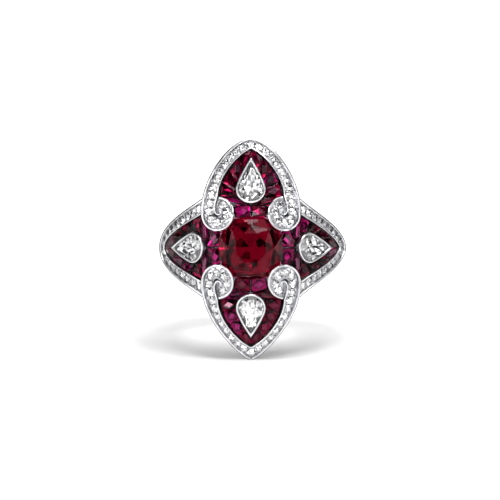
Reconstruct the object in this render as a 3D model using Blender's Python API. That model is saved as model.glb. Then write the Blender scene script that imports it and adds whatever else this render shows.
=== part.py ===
"""Cocktail ring: a four-lobed jewelled head on a plain shank.

The finger hole runs along Z and its centre is the origin. The head faces -Y, its long lobes point up
(north) and down (south), and the two side lobes (east, +X, and west, -X) wrap down to the shank.

Lengths below are millimetres. The head is laid out flat, in plan: x across the finger, z along it. A
point of the plan is then lifted to the domed head surface and moved h along the surface's normal, so
two pieces that are apart in (x, z, h) stay apart on the dome. Each lobe is drawn once, pointing up its
own v axis with u across it, and turned to its place.
"""

import math

import bmesh
import bpy
from mathutils import Vector

MM = 0.001  # Blender units per millimetre
GAP = 0.05  # clearance left at each solder joint or stone seat

# The finger hole and the shank
FINGER_RADIUS = 8.5
SHANK_RADIUS = 10.0  # outer radius at the back
SHOULDER_RADIUS = 10.2  # outer radius under the side lobes
HEEL_RADIUS = 11.0  # where the shank swells to meet the side lobes' tips
SHANK_WIDTH = 2.4
SHOULDER_WIDTH = 3.0
SHANK_START = 49  # degrees round from the front where the shank begins, under a side lobe
HEEL_START = 68
HEEL_END = 105

# The domed surface that the head's stones lie on
HEAD_HEIGHT = 13.0  # from the finger axis to the surface at the centre
ACROSS_A, ACROSS_B = 0.0459, 0.01227  # slope across the finger is A x + B x^2
ALONG_RADIUS = 30.0  # the dome's radius along the finger
SIDE_DROP = 0.35  # the side lobes lie this much lower than the long ones

# The lobes' outlines in their own plan, each a Bezier curve from the tip down one side
LONG_OUTER = ((0, 12.72), (1.85, 12.1), (5.45, 8.2), (5.56, 4.61))
LONG_INNER = ((0, 11.3), (1.7, 10.5), (3.7, 8.0), (3.7, 5.92))
SIDE_OUTER = ((0, 11.12), (2.25, 11.0), (4.0, 7.6), (5.6, 5.76))
SIDE_INNER = ((0, 10.46), (1.2, 9.95), (2.3, 8.3), (3.82, 5.83))

# The scroll at each foot of a long lobe: an ellipse, with a hooked wire curling into it
SCROLL_CENTRE = (3.73, 3.85)
SCROLL_RADII = (1.87, 1.99)
SCROLL_END = -266  # degrees that the rim runs round the scroll
CLAW_ANGLE = -135  # where the rim crosses the centre stone's corner
CLAW_SPAN = (1.3, 2.6)  # the distances from there at which the rim starts and ends coming down
HOOK = ((3.88, 5.35), (4.02, 4.8), (4.0, 4.25), (3.78, 3.9), (3.52, 3.96), (3.48, 4.24))
FAN_CENTRE, FAN_RADII = (3.8, 4.05), (0.57, 0.64)  # the hole that the fan of diamonds leaves for the hook
FAN_END = -262  # degrees round the scroll at which the fan ends

# Heights above the head surface
WALL_TOP, WALL_BOTTOM = 0.25, -1.25
FLANK_SPAN = (5.7, 7.0)  # how far out along a long lobe its wall deepens past the side lobes
WIRE_TOP = 0.22
PAVE_TOP = 0.05
STONE_FLOOR = -0.62  # underside of the small stones, on the tray
TRAY_TOP, TRAY_BOTTOM = -0.67, -1.2
CLAW_BOTTOM, CLAW_TOP = 0.26, 0.58
WALL_THICK = 0.28
WIRE_THICK = 0.2

# The centre stone and its collet, a cushion outline |x|^n + |z|^n = 1
CUSHION_POWER = 3.2
CUSHION_HALF = (3.67, 3.62)
GIRDLE_LOW, GIRDLE_HIGH = 12.28, 12.38
TABLE_HEIGHT, CULET_HEIGHT = 13.4, 9.1
COLLET_OUTER = 3.82  # half-width at its top
COLLET_CLEARANCE = 0.16

# The pear stones' collets: length, width and where their middle lies along the lobe
ROW_RIM_START = 96  # degrees round the scroll where a long lobe's rubies meet its rim
SIDE_ROOT_INSET = 0.2  # the side lobes lean away from the centre stone, so they start this much later
RUBY_GIRDLE, RUBY_CROWN, RUBY_BEVEL = -0.04, 0.14, 0.2

LONG_PEAR = (5.22, 3.4, 7.55)
SIDE_PEAR = (5.3, 3.56, 7.46)
PEAR_SIDE_RADIUS = 14.0  # of the arcs from the round end to the point
PEAR_RIM_TOP, PEAR_RIM_WIDTH = 0.38, 0.3

# The gallery under the head
RAIL_RADIUS, RAIL_THICK = 8.97, 0.4
RAIL_REACH = (6.75, 3.5)  # half-length round the finger, and half-width along it
STRUT_RADIUS = 0.34


class Lobe:
    """One arm of the head. quarter_turns turns the drawn lobe, which points up, to its place."""

    def __init__(self, name, quarter_turns):
        self.name = name
        self.long = quarter_turns % 2 == 0
        self.quarter_turns = quarter_turns
        self.drop = 0 if self.long else SIDE_DROP
        self.outer = LONG_OUTER if self.long else SIDE_OUTER
        self.inner = LONG_INNER if self.long else SIDE_INNER
        self.pear = LONG_PEAR if self.long else SIDE_PEAR
        self.row_cells, self.root_cells = (6, 2) if self.long else (5, 1)
        self.row_rim_end, self.root_rim_end = (156, 178) if self.long else (146, 166)
        self.root_inset = 0.0 if self.long else SIDE_ROOT_INSET
        self.pear_clearance = 0.16 if self.long else 0.28

    def plan(self, u, v):
        for _ in range(self.quarter_turns):
            u, v = v, -u
        return u, v

    def point(self, u, v, h):
        """The place in space of plan point (u, v), h above this lobe's own surface."""
        return on_head(*self.plan(u, v), h - self.drop)

    def offset(self, points, distance):
        """The plan line moved sideways over the surface, to the left for a positive distance."""
        found = []
        for i, point in enumerate(points):
            before, after = points[max(i - 1, 0)], points[min(i + 1, len(points) - 1)]
            along = Vector(after) - Vector(before)
            side = Vector((-along.y, along.x)).normalized()
            climb = Vector(head_slope(*self.plan(*point))).dot(self.plan(*side))
            step = distance / math.sqrt(1 + climb * climb)
            found.append((point[0] + side.x * step, point[1] + side.y * step))
        return found


LOBES = [Lobe("north", 0), Lobe("east", 1), Lobe("south", 2), Lobe("west", 3)]


# ---------------------------------------------------------------- the head surface and plan curves


def head_height(x, z):
    """Distance from the finger axis to the head surface, towards the viewer."""
    across = ACROSS_A * x * x / 2 + ACROSS_B * abs(x) ** 3 / 3
    along = ALONG_RADIUS - math.sqrt(ALONG_RADIUS**2 - z * z)
    return HEAD_HEIGHT - across - along


def head_slope(x, z):
    """How steeply the surface falls away, across and along the finger."""
    across = math.copysign(ACROSS_A * abs(x) + ACROSS_B * x * x, x)
    return across, z / math.sqrt(ALONG_RADIUS**2 - z * z)


def head_normal(x, z):
    across, along = head_slope(x, z)
    return Vector((across, -1, along)).normalized()


def on_head(x, z, h):
    return Vector((x, -head_height(x, z), z)) + head_normal(x, z) * h


def eased(value, low, high):
    """0 below low, 1 above high, and a smooth step between."""
    t = min(max((value - low) / (high - low), 0), 1)
    return t * t * (3 - 2 * t)


def bezier(control, steps):
    """steps + 1 points along a cubic Bezier curve of plan points."""
    points = []
    for i in range(steps + 1):
        t = i / steps
        weights = ((1 - t) ** 3, 3 * t * (1 - t) ** 2, 3 * t * t * (1 - t), t**3)
        points.append(tuple(sum(w * c[k] for w, c in zip(weights, control)) for k in (0, 1)))
    return points


def ellipse_point(centre, radii, degrees, grow=0.0):
    a = math.radians(degrees)
    return (
        centre[0] + (radii[0] + grow) * math.cos(a),
        centre[1] + (radii[1] + grow) * math.sin(a),
    )


def smooth_through(points, steps):
    """A Catmull-Rom curve through plan points, with steps pieces between each two."""
    ends = [points[0], *points, points[-1]]
    found = []
    for p0, p1, p2, p3 in zip(ends, ends[1:], ends[2:], ends[3:]):
        for i in range(steps):
            t = i / steps
            found.append(
                tuple(
                    0.5
                    * (
                        2 * p1[k]
                        + (p2[k] - p0[k]) * t
                        + (2 * p0[k] - 5 * p1[k] + 4 * p2[k] - p3[k]) * t * t
                        + (3 * p1[k] - p0[k] - 3 * p2[k] + p3[k]) * t**3
                    )
                    for k in (0, 1)
                )
            )
    return [*found, points[-1]]


def resampled(points, fractions):
    """Points at these fractions of a plan line's length."""
    lengths = [0.0]
    for a, b in zip(points, points[1:]):
        lengths.append(lengths[-1] + math.dist(a, b))
    found = []
    for fraction in fractions:
        want = fraction * lengths[-1]
        i = next((i for i in range(len(points) - 2) if lengths[i + 1] > want), len(points) - 2)
        share = (want - lengths[i]) / (lengths[i + 1] - lengths[i])
        found.append(tuple(a + (b - a) * share for a, b in zip(points[i], points[i + 1])))
    return found


def mirrored(points):
    """A line from the tip down the right side, made whole: up the left side first."""
    return [(-u, v) for u, v in reversed(points[1:])] + points


def even(count):
    return [i / count for i in range(count + 1)]


# ---------------------------------------------------------------- meshes


def material(name, colour, roughness, metallic):
    made = bpy.data.materials.get(name)
    if made is None:
        made = bpy.data.materials.new(name)
        made.use_nodes = True
        shader = made.node_tree.nodes["Principled BSDF"]
        shader.inputs["Base Color"].default_value = (*colour, 1)
        shader.inputs["Roughness"].default_value = roughness
        shader.inputs["Metallic"].default_value = metallic
    return made


def platinum():
    return material("platinum", (0.80, 0.80, 0.81), 0.15, 1.0)


def diamond():
    return material("diamond", (0.93, 0.94, 0.97), 0.02, 0.0)


def ruby():
    return material("ruby", (0.45, 0.01, 0.06), 0.03, 0.0)


def finished(name, bm, surface, smooth_below=30):
    """The bmesh, drawn in millimetres, as a named object in metres."""
    bmesh.ops.recalc_face_normals(bm, faces=bm.faces)
    bmesh.ops.scale(bm, vec=(MM, MM, MM), verts=bm.verts)
    mesh = bpy.data.meshes.new(name)
    bm.to_mesh(mesh)
    bm.free()
    mesh.materials.append(surface)
    mesh.shade_smooth()
    mesh.set_sharp_from_angle(angle=math.radians(smooth_below))
    made = bpy.data.objects.new(name, mesh)
    bpy.context.scene.collection.objects.link(made)
    return made


def loft(name, rings, surface, closed=False, smooth_below=30):
    """A solid through rings of points, capped at both ends unless it closes on itself."""
    bm = bmesh.new()
    loops = [[bm.verts.new(p) for p in ring] for ring in rings]
    pairs = list(zip(loops, loops[1:])) + ([(loops[-1], loops[0])] if closed else [])
    for first, second in pairs:
        count = len(first)
        for i in range(count):
            j = (i + 1) % count
            bm.faces.new((first[i], first[j], second[j], second[i]))
    if not closed:
        bm.faces.new(loops[0])
        bm.faces.new(loops[-1])
    return finished(name, bm, surface, smooth_below)


def bar_section(left, right, bottom, top, chamfer):
    """A bar's cross-section between two plan points, as (point, height) pairs, its top edges chamfered."""
    width = math.dist(left, right)
    share = chamfer / width
    left_in = tuple(a + (b - a) * share for a, b in zip(left, right))
    right_in = tuple(b + (a - b) * share for a, b in zip(left, right))
    return [
        (left, bottom),
        (right, bottom),
        (right, top - chamfer),
        (right_in, top),
        (left_in, top),
        (left, top - chamfer),
    ]


def rings_of(lobe, sections):
    return [[lobe.point(*plan, h) for plan, h in section] for section in sections]


# ---------------------------------------------------------------- walls, wires and pave of a lobe


def side_angles():
    """The angles, clockwise from the right, at which the scroll's rim is drawn."""
    count = 19
    return [SCROLL_END * i / count for i in range(count + 1)]


def outer_line(lobe):
    """The outside of the lobe's wall, from the tip down the right side and round the scroll."""
    line = bezier(lobe.outer, 12)
    if lobe.long:
        line += [ellipse_point(SCROLL_CENTRE, SCROLL_RADII, a) for a in side_angles()]
    return line


def inner_line(lobe):
    """The field side of the inner wire, from the tip down the right side and into the hook."""
    line = bezier(lobe.inner, 10)
    return line[:-1] + smooth_through([line[-1], *HOOK], 2) if lobe.long else line


def claw_share(lobe, plan):
    """How much of a claw the rim is at this plan point: 1 over the centre stone's corner, else 0."""
    if not lobe.long:
        return 0.0
    claw = ellipse_point(SCROLL_CENTRE, SCROLL_RADII, CLAW_ANGLE)
    return 1 - eased(math.dist((abs(plan[0]), plan[1]), claw), *CLAW_SPAN)


def wall_bottom(lobe, plan):
    """The wall goes down past the tray on the lobe's flanks, and only to the tray round a scroll."""
    if not lobe.long:
        return WALL_BOTTOM
    flank = eased(plan[1], *FLANK_SPAN) if abs(plan[0]) > SCROLL_CENTRE[0] or plan[1] > 6 else 0.0
    low = STONE_FLOOR + (WALL_BOTTOM - STONE_FLOOR) * flank
    return low + (CLAW_BOTTOM - low) * claw_share(lobe, plan)


def outer_wall(lobe):
    outside = mirrored(outer_line(lobe))
    inside = lobe.offset(outside, -WALL_THICK)
    sections = []
    for out, within in zip(outside, inside):
        top = WALL_TOP + (CLAW_TOP - WALL_TOP) * claw_share(lobe, out)
        sections.append(bar_section(out, within, wall_bottom(lobe, out), top, 0.07))
    loft(f"{lobe.name}_outer_wall", rings_of(lobe, sections), platinum())


def inner_wire(lobe):
    field_side = mirrored(inner_line(lobe))
    band_side = lobe.offset(field_side, WIRE_THICK)
    sections = [
        bar_section(band, field, STONE_FLOOR, WIRE_TOP, 0.06)
        for band, field in zip(band_side, field_side)
    ]
    loft(f"{lobe.name}_inner_wire", rings_of(lobe, sections), platinum())


def cushion_norm(x, z):
    """1 on the centre stone's girdle, less inside it."""
    half_x, half_z = CUSHION_HALF
    power = CUSHION_POWER
    return ((abs(x) / half_x) ** power + (abs(z) / half_z) ** power) ** (1 / power)


def clear_of_collet(lobe, plan):
    """The plan point, pushed straight out from the centre until it clears the centre collet."""
    limit = (COLLET_OUTER + COLLET_CLEARANCE) / CUSHION_HALF[0]
    norm = cushion_norm(*lobe.plan(*plan))
    return plan if norm >= limit else (plan[0] * limit / norm, plan[1] * limit / norm)


def on_centreline(points):
    """The line with its first point moved across to the lobe's centreline."""
    return [(0, points[0][1]), *points[1:]]


def pave_band(lobe):
    """The row of small diamonds between the wall and the wire, as one strip."""
    wall = on_centreline(lobe.offset(bezier(lobe.outer, 12), -WALL_THICK - GAP))
    wire = on_centreline(lobe.offset(bezier(lobe.inner, 10), WIRE_THICK + GAP))
    if lobe.long:
        wire += lobe.offset(inner_line(lobe), WIRE_THICK + GAP)[len(wire) : -8]
    wall_side, wire_side = resampled(wall, even(11)), resampled(wire, even(11))
    if lobe.long:
        for angle in [a for a in side_angles() if FAN_END < a < 0]:
            rim = ellipse_point(SCROLL_CENTRE, SCROLL_RADII, angle, -WALL_THICK - GAP)
            wall_side.append(clear_of_collet(lobe, rim))
            wire_side.append(ellipse_point(FAN_CENTRE, FAN_RADII, angle))
    pairs = zip(mirrored(wall_side), mirrored(wire_side))
    sections = [bar_section(a, b, STONE_FLOOR, PAVE_TOP, 0.08) for a, b in pairs]
    loft(f"{lobe.name}_pave_band", rings_of(lobe, sections), diamond())


# ---------------------------------------------------------------- pear stones and their collets


def pear_outline(length, width, inset=0.0, steps=5):
    """A pear outline round its middle, point at +v, going round from the point down the right side."""
    r = width / 2 - inset
    big = PEAR_SIDE_RADIUS - inset
    bottom = -length / 2 + inset
    centre = bottom + r
    reach = length / 2 - centre - inset / math.sin(math.radians(34))
    sine = (2 * big * r - r * r - reach * reach) / (2 * reach * (big - r))
    turn = math.asin(sine)
    side_centre = (-(big - r) * math.cos(turn), centre - (big - r) * math.sin(turn))
    tip = (0.0, centre + reach)
    tip_angle = math.atan2(tip[1] - side_centre[1], tip[0] - side_centre[0])
    right = []
    for i in range(1, steps + 1):
        a = tip_angle + (turn - tip_angle) * i / steps
        right.append((side_centre[0] + big * math.cos(a), side_centre[1] + big * math.sin(a)))
    for i in range(1, steps + 1):
        a = turn + (-math.pi / 2 - turn) * i / steps
        right.append((r * math.cos(a), centre + r * math.sin(a)))
    return [tip, *right, *[(-u, v) for u, v in reversed(right[:-1])]]


def pear_frame(lobe):
    """The pear's own axes: across, along and out, and its middle, on the lobe's surface."""
    middle = lobe.pear[2]
    origin = lobe.point(0, middle, 0)
    out = head_normal(*lobe.plan(0, middle))
    step = lobe.point(0, middle + 0.01, 0) - origin
    along = (step - out * step.dot(out)).normalized()
    return along.cross(out), along, out, origin


def pear_ring(lobe, outline, height, scale=1.0):
    across, along, out, origin = pear_frame(lobe)
    return [origin + (across * u + along * v) * scale + out * height for u, v in outline]


def pear_collet(lobe):
    """A band round the stone, tapered below, with a seat for the girdle."""
    length, width, _ = lobe.pear
    outside = pear_outline(length, width)
    rim = pear_outline(length, width, PEAR_RIM_WIDTH)
    levels = [
        pear_ring(lobe, outside, PEAR_RIM_TOP - 0.08),
        pear_ring(lobe, pear_outline(length, width, 0.07), PEAR_RIM_TOP),
        pear_ring(lobe, rim, PEAR_RIM_TOP),
        pear_ring(lobe, rim, 0.0),
        pear_ring(lobe, rim, -1.15, 0.62),
        pear_ring(lobe, outside, -1.15, 0.74),
        pear_ring(lobe, outside, -0.25),
    ]
    rings = [[level[i] for level in levels] for i in range(len(outside))]
    loft(f"{lobe.name}_pear_collet", rings, platinum(), closed=True)


def pear_diamond(lobe):
    length, width, _ = lobe.pear
    girdle = pear_outline(length, width, PEAR_RIM_WIDTH + GAP)
    profile = ((-1.0, 0.06), (0.04, 0.96), (0.12, 1.0), (0.19, 1.0), (0.52, 0.62))
    rings = [pear_ring(lobe, girdle, height, scale) for height, scale in profile]
    loft(f"{lobe.name}_pear_diamond", rings, diamond(), smooth_below=5)


# ---------------------------------------------------------------- calibre rubies


def scroll_rim(lobe, start, end, steps, clearance):
    """Points beside the scroll's rim. A side lobe meets it from the other side of its diagonal."""
    found = []
    for i in range(steps + 1):
        a = start + (end - start) * i / steps
        if lobe.long:
            found.append(ellipse_point(SCROLL_CENTRE, SCROLL_RADII, a, clearance))
        else:
            found.append(ellipse_point(SCROLL_CENTRE, SCROLL_RADII, 90 - a, clearance)[::-1])
    return found


def pear_footprint(lobe, clearance):
    """The right half of the pear collet's outline in plan, from its point to its round end."""
    length, width, middle = lobe.pear
    grown = pear_outline(length + 2.6 * clearance, width + 2 * clearance, steps=8)
    half = grown[: len(grown) // 2 + 1]
    foreshortened = math.sqrt(1 - pear_frame(lobe)[1].y ** 2)
    return [(u, middle + v * foreshortened) for u, v in half]


def ruby_block(name, lobe, edge_a, edge_b, cells):
    """Rubies side by side between two edges, each with its own table."""
    steps = (len(edge_a) - 1) // cells
    bm = bmesh.new()

    def lifted(points, h):
        return [bm.verts.new(lobe.point(*p, h)) for p in points]

    low_a, low_b = lifted(edge_a, STONE_FLOOR), lifted(edge_b, STONE_FLOOR)
    top_a, top_b = lifted(edge_a, RUBY_GIRDLE), lifted(edge_b, RUBY_GIRDLE)
    for i in range(len(edge_a) - 1):
        bm.faces.new((low_a[i], low_a[i + 1], low_b[i + 1], low_b[i]))
        bm.faces.new((low_a[i], top_a[i], top_a[i + 1], low_a[i + 1]))
        bm.faces.new((low_b[i], low_b[i + 1], top_b[i + 1], top_b[i]))
    for i in (0, -1):
        bm.faces.new((low_a[i], low_b[i], top_b[i], top_a[i]))
    tables = []
    for first in range(0, cells * steps, steps):
        last = first + steps + 1
        tables.append(bm.faces.new(top_a[first:last] + top_b[first:last][::-1]))
    bmesh.ops.recalc_face_normals(bm, faces=bm.faces)
    bmesh.ops.inset_individual(bm, faces=tables, thickness=RUBY_BEVEL, depth=RUBY_CROWN)
    return finished(name, bm, ruby(), smooth_below=5)


def between(a, b, share):
    return tuple(p + (q - p) * share for p, q in zip(a, b))


def ruby_rows(lobe):
    """A row of rubies down each side of the pear, then those at the root, beside the centre stone."""
    steps = lobe.row_cells * 2
    wire = on_centreline(lobe.offset(bezier(lobe.inner, 12), -GAP))
    rim = scroll_rim(lobe, ROW_RIM_START, lobe.row_rim_end, 6, 2 * GAP)
    clearance = lobe.pear_clearance
    edge = resampled(wire[:-1] + rim, even(steps))
    pear = resampled(pear_footprint(lobe, clearance), even(steps))
    edge = [(max(u, GAP), v) for u, v in edge]
    pear = [(max(u, GAP), v) for u, v in pear]

    foot = scroll_rim(lobe, lobe.root_rim_end, lobe.root_rim_end, 1, 2.5 * GAP)[0]
    shares = even(lobe.root_cells)
    root_top = [between(pear[-1], edge[-1], s) for s in shares]
    root_top = [(u, v - 1.6 * GAP) for u, v in root_top]
    root_low = [(GAP + (foot[0] - GAP) * s, foot[1]) for s in shares]
    for side, sign in (("right", 1), ("left", -1)):
        lines = [[(u * sign, v) for u, v in line] for line in (edge, pear, root_top, root_low)]
        ruby_block(f"{lobe.name}_ruby_row_{side}", lobe, *lines[:2], lobe.row_cells)
        ruby_block(f"{lobe.name}_root_rubies_{side}", lobe, *lines[2:], lobe.root_cells)


# ---------------------------------------------------------------- trays


def tray_edge(lobe):
    """The right edge of a lobe's tray, from the tip to its root beside the centre collet."""
    line = on_centreline(lobe.offset(bezier(lobe.outer, 8), -WALL_THICK - GAP))
    if lobe.long:
        line += [
            ellipse_point(SCROLL_CENTRE, SCROLL_RADII, a, -WALL_THICK - GAP)
            for a in range(0, -181, -20)
        ]
    else:
        line += scroll_rim(lobe, 90, 180, 6, 3 * GAP)
    return [clear_of_collet(lobe, p) for p in line]


def tray(lobe):
    """The floor of the lobe, with an opening under the pear."""
    edge = tray_edge(lobe)
    edge.append((0, COLLET_OUTER + COLLET_CLEARANCE + lobe.root_inset))
    count = 24
    right_edge = resampled(edge, even(count))
    hole = resampled(pear_footprint(lobe, 0.06), even(count))
    outside = right_edge + [(-u, v) for u, v in reversed(right_edge[1:-1])]
    opening = hole + [(-u, v) for u, v in reversed(hole[1:-1])]
    rings = []
    for out, within in zip(outside, opening):
        line = [between(out, within, share) for share in (0, 0.5, 1)]
        section = [(p, TRAY_TOP) for p in line] + [(p, TRAY_BOTTOM) for p in reversed(line)]
        rings.append([lobe.point(*p, h) for p, h in section])
    loft(f"{lobe.name}_tray", rings, platinum(), closed=True)


# ---------------------------------------------------------------- centre stone


def cushion_ring(scale, height, count=24):
    """A ring of the cushion outline at this share of the girdle, at this height from the finger axis."""
    points = []
    for i in range(count):
        a = 2 * math.pi * (i + 0.5) / count
        x, z = math.cos(a), math.sin(a)
        norm = cushion_norm(x, z)
        points.append(Vector((x / norm * scale, -height, z / norm * scale)))
    return points


def centre_ruby():
    profile = (
        (0.04, CULET_HEIGHT),
        (0.62, CULET_HEIGHT + 1.75),
        (1.0, GIRDLE_LOW),
        (1.0, GIRDLE_HIGH),
        (0.84, GIRDLE_HIGH + 0.6),
        (0.60, TABLE_HEIGHT),
    )
    rings = [cushion_ring(scale, height) for scale, height in profile]
    loft("centre_ruby", rings, ruby(), smooth_below=5)


def centre_collet():
    outer = COLLET_OUTER / CUSHION_HALF[0]
    seat = 1 + GAP / CUSHION_HALF[0]
    profile = (
        (seat, GIRDLE_HIGH),
        (outer, GIRDLE_HIGH),
        (outer, GIRDLE_LOW - 0.35),
        (0.74, 9.75),
        (0.52, 9.75),
        (seat, GIRDLE_LOW - 0.12),
    )
    levels = [cushion_ring(scale, height) for scale, height in profile]
    rings = [[level[i] for level in levels] for i in range(len(levels[0]))]
    loft("centre_collet", rings, platinum(), closed=True)


# ---------------------------------------------------------------- shank and gallery


def on_finger(degrees, radius, z):
    """A point at this angle round from the front, on the east side for a positive angle."""
    a = math.radians(degrees)
    return Vector((radius * math.sin(a), -radius * math.cos(a), z))


def shank_section(degrees):
    """The shank's cross-section at this angle from the front: flat sides and a crowned outside."""
    around = min(degrees, 360 - degrees)
    swell = eased(around, HEEL_START, HEEL_START + 3) * (1 - eased(around, HEEL_START + 3, HEEL_END))
    radius = SHOULDER_RADIUS + (SHANK_RADIUS - SHOULDER_RADIUS) * eased(around, 90, 180)
    radius += (HEEL_RADIUS - SHOULDER_RADIUS) * swell
    width = SHOULDER_WIDTH + (SHANK_WIDTH - SHOULDER_WIDTH) * eased(around, HEEL_START, HEEL_END)
    half = width / 2
    crown = (
        (FINGER_RADIUS + 0.12, half),
        (radius - 0.55, half),
        (radius - 0.16, half * 0.72),
        (radius, half * 0.3),
    )
    section = [(FINGER_RADIUS, -half * 0.8), (FINGER_RADIUS, half * 0.8), *crown]
    section += [(r, -z) for r, z in reversed(crown)]
    return [on_finger(degrees, r, z) for r, z in section]


def shank():
    plain = [HEEL_END + (360 - 2 * HEEL_END) * i / 18 for i in range(19)]
    shoulder = [SHANK_START, 59, HEEL_START, 69, 70, HEEL_START + 3, 77, 85, 95]
    angles = shoulder + plain + [360 - a for a in reversed(shoulder)]
    loft("shank", [shank_section(a) for a in angles], platinum())


def wire_object(name, points, radius, cyclic=False, resolution=2):
    """A round wire through points given in millimetres."""
    curve = bpy.data.curves.new(name, "CURVE")
    curve.dimensions = "3D"
    curve.bevel_depth = radius * MM
    curve.bevel_resolution = resolution
    curve.use_fill_caps = not cyclic
    spline = curve.splines.new("POLY")
    spline.points.add(len(points) - 1)
    for slot, point in zip(spline.points, points):
        slot.co = (*(point * MM), 1)
    spline.use_cyclic_u = cyclic
    curve.materials.append(platinum())
    made = bpy.data.objects.new(name, curve)
    bpy.context.scene.collection.objects.link(made)


def rail_point(turn, radius=RAIL_RADIUS):
    """A point of the gallery rail: a rounded loop laid round the finger."""
    power = 2.6
    c, s = math.cos(turn), math.sin(turn)
    norm = (abs(c) ** power + abs(s) ** power) ** (1 / power)
    round_finger = RAIL_REACH[0] * c / norm
    return on_finger(math.degrees(round_finger / RAIL_RADIUS), radius, RAIL_REACH[1] * s / norm)


def gallery_rail():
    count = 40
    points = [rail_point(2 * math.pi * (i + 0.5) / count) for i in range(count)]
    wire_object("gallery_rail", points, RAIL_THICK, cyclic=True)


def gallery_struts():
    """Two struts from the rail up to each lobe's tray."""
    for lobe in LOBES:
        for side, sign in (("a", 1), ("b", -1)):
            u, v, turn = (2.9, 6.3, 62) if lobe.long else (3.0, 6.9, 62)
            head = lobe.point(u * sign, v, TRAY_BOTTOM - STRUT_RADIUS * 1.1)
            turn = math.radians(turn)
            x, z = lobe.plan(sign * math.cos(turn), math.sin(turn))
            foot = rail_point(math.atan2(z, x), RAIL_RADIUS + RAIL_THICK + GAP * 5)
            points = [foot, (foot + head) / 2, head]
            wire_object(f"gallery_strut_{lobe.name}_{side}", points, STRUT_RADIUS, resolution=1)


def clear_scene():
    for old in list(bpy.data.objects):
        bpy.data.objects.remove(old)


def main():
    clear_scene()
    shank()
    gallery_rail()
    gallery_struts()
    centre_collet()
    centre_ruby()
    for lobe in LOBES:
        tray(lobe)
        outer_wall(lobe)
        inner_wire(lobe)
        pave_band(lobe)
        pear_collet(lobe)
        pear_diamond(lobe)
        ruby_rows(lobe)


main()
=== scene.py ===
"""The looks of the cocktail ring: faceted stones, bead-set borders, polished platinum, pale studio.

The CAD part gives the frame. Each lobe of the head is drawn once in its own plan, pointing up its
v axis with u across it, then turned to its place and lifted to the domed head surface, as in the
CAD. Lengths are millimetres and angles degrees, unless a comment says otherwise. Meshes are scaled
to metres when they are made. The lights, the floor and the camera are in metres.
"""

import math
import random

import bmesh
import bpy
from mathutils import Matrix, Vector


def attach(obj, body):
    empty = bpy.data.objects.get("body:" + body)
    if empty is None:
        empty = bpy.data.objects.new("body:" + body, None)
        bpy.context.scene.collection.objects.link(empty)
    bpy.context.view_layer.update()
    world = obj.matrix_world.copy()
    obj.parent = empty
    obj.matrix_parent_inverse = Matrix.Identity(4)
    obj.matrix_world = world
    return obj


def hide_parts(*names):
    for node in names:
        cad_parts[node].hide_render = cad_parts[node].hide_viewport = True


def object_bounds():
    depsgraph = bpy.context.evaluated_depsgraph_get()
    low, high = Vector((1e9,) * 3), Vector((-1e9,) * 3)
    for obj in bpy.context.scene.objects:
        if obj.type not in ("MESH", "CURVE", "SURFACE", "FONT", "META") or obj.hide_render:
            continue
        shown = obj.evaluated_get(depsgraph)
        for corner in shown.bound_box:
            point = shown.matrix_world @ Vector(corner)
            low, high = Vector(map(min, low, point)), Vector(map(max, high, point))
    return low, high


MM = 0.001

# The head surface: its height over the finger's axis, its fall across and its radius along
HEAD_HEIGHT = 13.0
ACROSS_A, ACROSS_B = 0.0459, 0.01227
ALONG_RADIUS = 30.0
SIDE_DROP = 0.35  # how far the side lobes lie under the long ones

# The lobes' right-hand outlines as Bezier curves in (u, v), from the tip
OUTER = {
    "north": ((0, 12.5), (2.2, 12.5), (5.4, 8.35), (5.56, 4.61)),
    "south": ((0, 12.88), (1.5, 12.35), (5.35, 8.3), (5.56, 4.61)),
    "east": ((0, 11.12), (2.25, 11.0), (4.0, 7.6), (5.6, 5.76)),
    "west": ((0, 10.97), (2.7, 10.97), (4.3, 7.6), (5.6, 5.76)),
}
INNER = {
    "north": ((0, 11.3), (1.7, 10.5), (3.7, 8.0), (3.7, 5.92)),
    "south": ((0, 11.3), (1.7, 10.5), (3.7, 8.0), (3.7, 5.92)),
    "east": ((0, 10.46), (1.2, 9.95), (2.3, 8.3), (3.82, 5.83)),
    "west": ((0, 10.42), (1.35, 10.3), (2.4, 8.4), (3.82, 5.83)),
}
OUTER_STEPS, INNER_STEPS = 40, 36

# The long lobes' scrolls, the hooks inside them, and the fan of stones between the two
SCROLL_CENTRE = (3.73, 3.85)
SCROLL_RADII = (1.87, 1.99)
SCROLL_TOP = 6.0  # no part of a scroll is above this v
SCROLL_END, SCROLL_STEPS = -266, 76
HOOK = ((3.88, 5.35), (4.02, 4.8), (4.0, 4.25), (3.78, 3.9), (3.52, 3.96), (3.48, 4.24))
HOOK_STEPS = 7
FREE_HOOK = 4 * HOOK_STEPS  # points at the hook's end that the border doesn't follow
FAN_CENTRE, FAN_RADII = (3.8, 4.05), (0.57, 0.64)
FAN_END, FAN_STEPS = -262, 65
FAN_INSET = 0.08

# Heights over the head surface and thicknesses of the border's metal
WALL_TOP, WALL_BOTTOM, WALL_THICK = 0.25, -1.25, 0.28
WIRE_TOP, WIRE_THICK = 0.22, 0.2
STONE_FLOOR = -0.62
FLANK_SPAN = (5.7, 7.0)  # the v over which a long lobe's wall deepens
CLAW_ANGLE = -135  # where a scroll laps over the centre stone
CLAW_SPAN = (1.3, 2.6)  # the distances from there over which it comes down again
CLAW_BOTTOM, CLAW_TOP = 0.26, 0.58
CLAW_STONE_LIFT = 0.2

SMALL_STEP = 0.01  # between the two places that give a direction

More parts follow.
